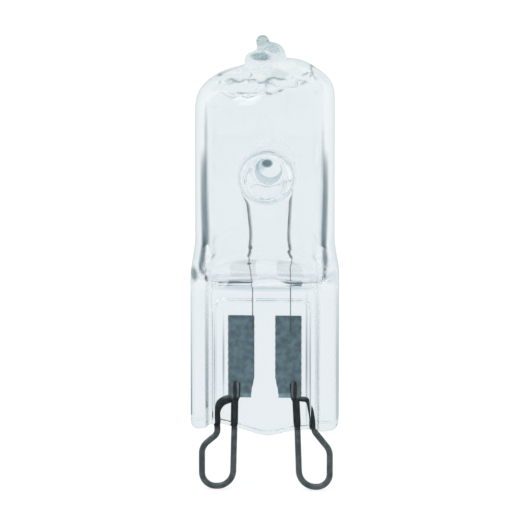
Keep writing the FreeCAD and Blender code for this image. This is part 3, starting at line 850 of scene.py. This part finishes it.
def wire_material():
    """Dull wire, nearly black where the glass holds it and lighter on the foil."""
    levels = [(-0.3, 1.0), (0.2, 0.16), (FOIL_LOW - 0.1, 0.16), (FOIL_LOW + 0.15, 1.2)]
    spots = []
    # painted shade: a dark patch on the middle of each flattened end, and a painted shadow line along its
    # inner edge
    for middle, inward in ((-LEG_TOP[0], 1), (LEG_TOP[1], -1)):
        edge = middle + BURIED_EDGE * inward
        spots.append(((middle, 0.0, BURIED_Z), (1.0, 0.0, 0.2), 0.16, 0.23, WIRE_END_SHADE))
        spots.append(((edge, 0.0, BURIED_Z), (1.0, 0.0, 0.06), 0.06, 0.11, WIRE_END_SHADE))
    return metal_material("contact_wire", WIRE_COLOR, 0.6, 0.4, MOTTLE_SCALE, levels, spots)


def foil_material():
    """Grey foil, lightest at its lower end and darkest at its upper one."""
    levels = [(FOIL_LOW, 1.0), (FOIL_LOW + 0.35, 1.0), (FOIL_LOW + 0.5, 0.6), (FOIL_HIGH - 0.4, 0.6)]
    levels.append((FOIL_HIGH, 0.45))
    return metal_material("molybdenum_foil", FOIL_COLOR, 0.2, 0.6, FOIL_MOTTLE_SCALE, levels)


def lead_material():
    """Thin wire, darker where it lies on the foil."""
    levels = [(FOIL_HIGH - 0.2, 0.42), (FOIL_HIGH + 0.1, 1.0)]
    return metal_material("lead_wire", LEAD_COLOR, 0.5, 0.45, MOTTLE_SCALE, levels)


def coil_material():
    levels = [(0.0, 1.0), (1.0, 1.0)]
    return metal_material("tungsten", COIL_COLOR, 0.5, 0.5, MOTTLE_SCALE, levels)


def world_light():
    """White behind the lamp for the camera, panels with dark gaps between them for what the glass bends."""
    world = bpy.data.worlds.new("studio")
    bpy.context.scene.world = world
    world.use_nodes = True
    tree = world.node_tree
    tree.nodes.clear()
    output = tree.nodes.new("ShaderNodeOutputWorld")
    path = tree.nodes.new("ShaderNodeLightPath")
    ray = tree.nodes.new("ShaderNodeTexCoord").outputs["Generated"]
    sideways, back, height = (part_of(tree, ray, axis) for axis in "XYZ")

    def soft_step(value, limits):
        return share_node(tree, value, *limits, "SMOOTHSTEP")

    def times(a, b):
        return number_node(tree, "MULTIPLY", a, b)

    around = number_node(tree, "ARCTAN2", back, sideways)
    turn = number_node(tree, "COSINE", times(around, PANELS))
    band = times(soft_step(height, GAP_LOW), soft_step(height, GAP_HIGH))
    between = times(soft_step(turn, GAP_WIDTH), soft_step(back, GAP_BACK))
    room = times(soft_step(back, ROOM_FRONT), times(soft_step(height, ROOM_UP), ROOM_SHARE))
    dark = number_node(tree, "MAXIMUM", times(band, between), room)
    through = ramp_node(tree, dark, [(0.0, WHITE), (1.0, GAP_COLOR)])
    behind = number_node(tree, "MULTIPLY_ADD", back, 0.5, 0.5)
    reflected = ramp_node(tree, behind, REFLECTED_STOPS)

    plain = light_node(tree, "ShaderNodeBackground", WHITE + (1,), PLAIN_STRENGTH)
    seen = light_node(tree, "ShaderNodeBackground", WHITE + (1,), 1.0)
    bent = light_node(tree, "ShaderNodeBackground", through, 1.0)
    shone = light_node(tree, "ShaderNodeBackground", reflected, 1.0)
    result = mix_node(tree, path.outputs["Is Glossy Ray"], plain, shone)
    result = mix_node(tree, path.outputs["Is Transmission Ray"], result, bent)
    result = mix_node(tree, path.outputs["Is Camera Ray"], result, seen)
    tree.links.new(result, output.inputs["Surface"])


def floor():
    """A plain white table top, level with the underside of the contact loops in the part."""
    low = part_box("contact_loop_left")[0][2] / MM
    half = FLOOR_HALF
    corners = [(-half, -half, low), (half, -half, low), (half, half, low), (-half, half, low)]
    material, tree, surface = new_material("floor_white")
    diffuse = tree.nodes.new("ShaderNodeBsdfDiffuse")
    diffuse.inputs["Color"].default_value = FLOOR_COLOR + (1,)
    glow = light_node(tree, "ShaderNodeEmission", WHITE + (1,), FLOOR_GLOW)
    add = tree.nodes.new("ShaderNodeAddShader")
    feed(tree, add.inputs, (diffuse.outputs["BSDF"], glow))
    tree.links.new(add.outputs["Shader"], surface)
    obj = add_object("floor", corners, [(0, 1, 2, 3)], material)
    obj.visible_transmission = False
    obj.visible_glossy = False


def camera():
    """The photograph's view, with a long lens."""
    data = bpy.data.cameras.new("camera")
    obj = bpy.data.objects.new("camera", data)
    bpy.context.scene.collection.objects.link(obj)
    bpy.context.scene.camera = obj
    azimuth = math.radians(VIEW_AZIMUTH)
    elevation = math.radians(VIEW_ELEVATION)
    level = math.cos(elevation)
    away = Vector((math.sin(azimuth) * level, -math.cos(azimuth) * level, math.sin(elevation)))
    obj.location = VIEW_TARGET + away * VIEW_DISTANCE
    obj.rotation_euler = (-away).to_track_quat("-Z", "Y").to_euler()
    data.sensor_width = SENSOR_WIDTH
    data.lens = SENSOR_WIDTH * VIEW_DISTANCE / (PIXEL * FRAME_PIXELS)
    data.clip_start = 0.01
    data.clip_end = 10


def key_light():
    """A soft square light from the upper left in front, aimed at the lamp."""
    data = bpy.data.lights.new("key", "AREA")
    data.shape = "RECTANGLE"
    data.size = KEY_SIZE
    data.size_y = KEY_SIZE
    data.energy = KEY_POWER
    obj = bpy.data.objects.new("key", data)
    bpy.context.scene.collection.objects.link(obj)
    obj.location = KEY_PLACE
    obj.rotation_euler = (-obj.location.normalized()).to_track_quat("-Z", "Y").to_euler()


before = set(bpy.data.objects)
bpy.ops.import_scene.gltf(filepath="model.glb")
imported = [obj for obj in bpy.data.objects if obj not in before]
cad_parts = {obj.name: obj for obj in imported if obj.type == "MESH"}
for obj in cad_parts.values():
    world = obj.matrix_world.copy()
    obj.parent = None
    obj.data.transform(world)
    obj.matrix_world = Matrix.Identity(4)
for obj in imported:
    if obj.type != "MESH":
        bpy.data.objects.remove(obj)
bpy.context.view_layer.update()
bpy.context.scene.view_settings.view_transform = "Standard"
wire_look = wire_material()
foil_look = foil_material()
lead_look = lead_material()
coil_look = coil_material()
glass_body()
for index, side in enumerate(("left", "right")):
    contact_loop(index, side, wire_look)
    foil(index, side, foil_look)
    inner_lead(index, side, lead_look)
filament(coil_look)
world_light()
floor()
key_light()
camera()
